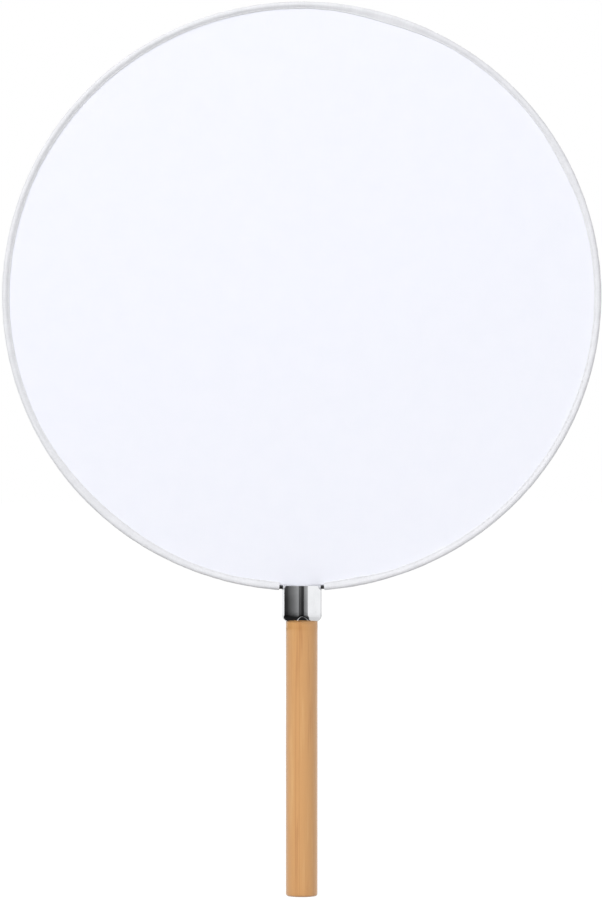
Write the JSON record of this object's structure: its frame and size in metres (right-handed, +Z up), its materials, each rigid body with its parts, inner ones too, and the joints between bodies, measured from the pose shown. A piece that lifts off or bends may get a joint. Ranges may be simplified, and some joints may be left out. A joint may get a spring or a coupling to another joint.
{
  "type": "hand fan",
  "caption": "Flat round hand fan: taut white cloth on a black wire hoop with a taped edge, a chrome ferrule and a round bamboo handle.",
  "frame": {"origin": "centre of the handle's lower end, on its end face", "axes": "+Z up the handle's axis towards the disc, -Y out of the disc's front, +X to the right seen from the front"},
  "size_m": [0.245, 0.0164, 0.3657],
  "materials": {
    "bamboo": "sanded bamboo with fine lengthwise grain under a thin satin lacquer",
    "ferrule_chrome": "polished chrome plate",
    "screw_steel": "zinc-plated steel",
    "plug_plastic": "moulded black plastic",
    "wire_black": "black-coated spring wire",
    "panel_cloth": "fine plain-woven white polyester, taut",
    "binding_tape": "white woven tape rolled over the wire",
    "sewing_thread": "white twisted sewing thread"
  },
  "bodies": {
    "root": {"handle": "bamboo", "ferrule": "ferrule_chrome", "handle_screw": "screw_steel", "hoop_plug": "plug_plastic", "hoop_wire": "wire_black", "fabric_panel": "panel_cloth", "edge_binding": "binding_tape", "needle_thread": "sewing_thread", "bobbin_thread": "sewing_thread"}
  },
  "joints": []
}
